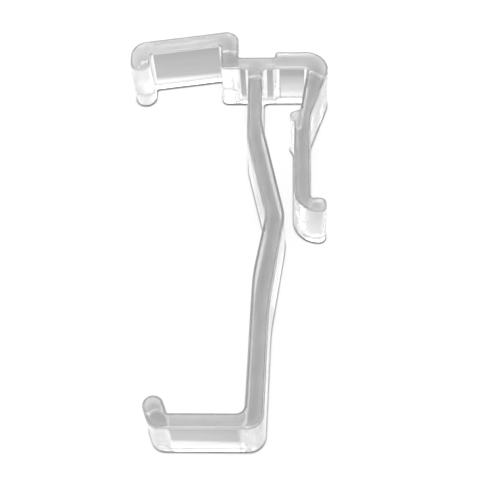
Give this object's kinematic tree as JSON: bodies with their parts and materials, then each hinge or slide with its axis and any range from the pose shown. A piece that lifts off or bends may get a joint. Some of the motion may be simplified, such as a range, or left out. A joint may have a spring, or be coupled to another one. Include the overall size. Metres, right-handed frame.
{
  "type": "blind valance clip",
  "caption": "Clear moulded clip with a top hook, a kneed stem and a bottom ledge that hold a valance board, and a sprung finger with a catch that grips a blind's headrail.",
  "frame": {"origin": "on the side face that the clip lies on, at the seat corner where the bar's underside meets the stem's rear face", "axes": "+X runs back from the valance to the headrail, +Y runs up the stem as the clip hangs in use, +Z runs along the clip's width, straight up as it lies on its side"},
  "size_m": [0.0398, 0.0849, 0.0127],
  "materials": {
    "clear_plastic": "clear moulded polycarbonate, glossy, faintly grey"
  },
  "bodies": {
    "root": {"valance_clip": "clear_plastic"}
  },
  "joints": []
}
